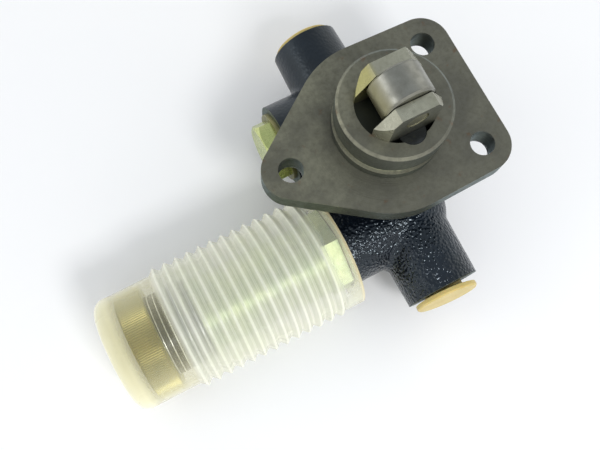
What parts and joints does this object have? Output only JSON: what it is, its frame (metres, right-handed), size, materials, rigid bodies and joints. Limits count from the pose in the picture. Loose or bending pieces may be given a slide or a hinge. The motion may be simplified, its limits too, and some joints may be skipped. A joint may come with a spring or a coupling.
{
  "type": "fuel feed pump",
  "caption": "Plunger fuel feed pump with roller tappet, flange mount, hand primer under a ribbed boot, valve plug and two capped ports.",
  "frame": {"origin": "where the tappet axis meets the flange's mounting face", "axes": "+Z along the tappet axis, out of the mounting face toward the roller; -X along the hand primer toward its knob; +Y toward the outlet port and the delivery valve plug"},
  "size_m": [0.1588, 0.1202, 0.0955],
  "materials": {
    "housing": "black gloss paint over rough casting, bare machined flange and spigot",
    "steel": "ground steel",
    "roller_steel": "polished hardened steel",
    "steel_plug": "zinc plated steel",
    "zinc_yellow": "yellow chromated zinc plating",
    "soft_metal": "soft sealing metal",
    "dark_steel": "oiled dark steel",
    "spring_steel": "drawn spring wire",
    "boot_plastic": "translucent soft plastic",
    "yellow_plastic": "moulded yellow plastic",
    "valve_plastic": "dark moulded nylon",
    "aluminium": "turned",
    "rubber": "black rubber"
  },
  "bodies": {
    "housing": {"pump_housing": "housing", "guide_key": "steel", "rod_bushing": "steel", "piston_plug": "steel_plug", "piston_plug_washer": "soft_metal", "delivery_plug": "zinc_yellow", "delivery_plug_washer": "soft_metal", "primer_barrel": "zinc_yellow", "primer_barrel_washer": "soft_metal", "primer_head": "dark_steel", "rod_seal": "rubber", "primer_boot": "boot_plastic", "inlet_dust_plug": "yellow_plastic", "outlet_dust_plug": "yellow_plastic", "tappet_spring": "spring_steel", "piston_spring": "spring_steel", "suction_valve_spring": "spring_steel", "delivery_valve_spring": "spring_steel"},
    "tappet": {"tappet_body": "steel", "roller_pin": "steel"},
    "roller": {"tappet_roller": "roller_steel"},
    "push_rod": {"push_rod": "steel"},
    "piston": {"piston": "steel"},
    "suction_valve": {"suction_valve": "valve_plastic"},
    "delivery_valve": {"delivery_valve": "valve_plastic"},
    "plunger": {"primer_piston": "aluminium", "primer_piston_ring": "rubber"},
    "knob": {"primer_rod": "steel", "primer_knob": "zinc_yellow"}
  },
  "joints": [
    {"name": "tappet_slide", "type": "slide", "parent": "housing", "child": "tappet", "axis": [0, 0, -1], "range_m": [0, 0.008], "stiffness_N_per_m": 1500, "springref_m": -0.012, "deforming": ["tappet_spring"]},
    {"name": "roller_turn", "type": "hinge", "parent": "tappet", "child": "roller", "pos_m": [0, 0, 0.0275], "axis": [0, 1, 0], "continuous": true},
    {"name": "push_rod_slide", "type": "slide", "parent": "housing", "child": "push_rod", "axis": [0, 0, -1], "range_m": [0, 0.008]},
    {"name": "piston_slide", "type": "slide", "parent": "housing", "child": "piston", "axis": [0, 0, -1], "range_m": [0, 0.008], "deforming": ["piston_spring"]},
    {"name": "suction_valve_slide", "type": "slide", "parent": "housing", "child": "suction_valve", "axis": [-1, 0, 0], "range_m": [0, 0.002], "stiffness_N_per_m": 120, "springref_m": -0.003, "deforming": ["suction_valve_spring"]},
    {"name": "delivery_valve_slide", "type": "slide", "parent": "housing", "child": "delivery_valve", "axis": [-1, 0, 0], "range_m": [0, 0.002], "stiffness_N_per_m": 120, "springref_m": -0.003, "deforming": ["delivery_valve_spring"]},
    {"name": "primer_slide", "type": "slide", "parent": "housing", "child": "plunger", "axis": [-1, 0, 0], "range_m": [0, 0.028], "deforming": ["primer_boot"]},
    {"name": "knob_turn", "type": "hinge", "parent": "plunger", "child": "knob", "pos_m": [-0.1, -0.026, -0.034], "axis": [-1, 0, 0], "continuous": true}
  ],
  "couplings": [
    {"joint": "push_rod_slide", "follows": "tappet_slide", "ratio": 1},
    {"joint": "piston_slide", "follows": "tappet_slide", "ratio": 1}
  ]
}
